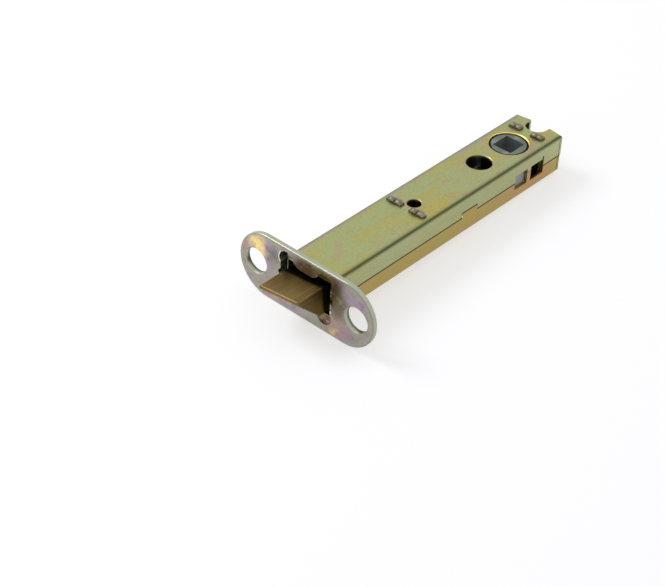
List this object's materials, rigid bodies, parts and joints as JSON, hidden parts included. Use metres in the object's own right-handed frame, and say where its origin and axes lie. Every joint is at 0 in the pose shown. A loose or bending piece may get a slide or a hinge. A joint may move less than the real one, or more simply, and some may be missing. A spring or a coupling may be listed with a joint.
{
  "type": "tubular door latch",
  "caption": "Tubular mortice latch: long folded steel case, rounded forend with screw holes, sprung bevelled brass bolt and a square-socket spindle follower.",
  "frame": {"origin": "centre of the forend's outer face, midway between its two screw holes", "axes": "+X from the forend into the door along the case, +Y along the forend, +Z along the spindle, with the bolt's flat face up"},
  "size_m": [0.1382, 0.06, 0.025],
  "materials": {
    "forend_zinc": "yellow-passivated zinc on sheet steel, grey to lilac",
    "case_zinc": "yellow-passivated zinc on sheet steel, khaki green",
    "case_zinc_gold": "yellow-passivated zinc on sheet steel, golden",
    "bridge_steel": "passivated steel, dull brown grey",
    "die_cast_zinc": "bare die-cast zinc, satin",
    "brass": "brushed brass",
    "bright_steel": "bright zinc-plated steel",
    "carriage_steel": "plain zinc-plated steel",
    "spring_steel": "oiled spring wire"
  },
  "bodies": {
    "case": {"forend_plate": "forend_zinc", "case_upper": "case_zinc", "case_lower": "case_zinc_gold", "front_bridge": "bridge_steel", "rear_bridge": "bridge_steel", "spring_washer": "bright_steel", "spring_rod_left": "bright_steel", "spring_rod_right": "bright_steel", "bolt_spring": "spring_steel", "return_spring_left": "spring_steel", "return_spring_right": "spring_steel"},
    "spindle_hub": {"follower": "die_cast_zinc"},
    "carriage": {"carriage_plate_upper": "carriage_steel", "carriage_plate_lower": "carriage_steel", "carriage_yoke": "carriage_steel", "carriage_block_left": "die_cast_zinc", "carriage_block_right": "die_cast_zinc", "spring_seat_left": "carriage_steel", "spring_seat_right": "carriage_steel"},
    "bolt": {"latch_bolt": "brass", "bolt_pin": "bright_steel", "bolt_tail": "bright_steel", "tail_washer": "bright_steel", "tail_nut": "bright_steel"}
  },
  "joints": [
    {"name": "carriage_slide", "type": "slide", "parent": "case", "child": "carriage", "axis": [1, 0, 0], "range_m": [0, 0.01093], "stiffness_N_per_m": 900, "springref_m": -0.008, "deforming": ["return_spring_left", "return_spring_right"]},
    {"name": "bolt_slide", "type": "slide", "parent": "case", "child": "bolt", "axis": [1, 0, 0], "range_m": [0, 0.01094], "stiffness_N_per_m": 500, "springref_m": -0.008, "deforming": ["bolt_spring"]},
    {"name": "hub_turn", "type": "hinge", "parent": "case", "child": "spindle_hub", "pos_m": [0.107, 0, 0], "axis": [0, 0, 1], "range_deg": [0, 72]}
  ],
  "couplings": [
    {"joint": "hub_turn", "follows": "carriage_slide", "rad_per_m": 114.94},
    {"joint": "bolt_slide", "follows": "carriage_slide", "ratio": 1}
  ]
}
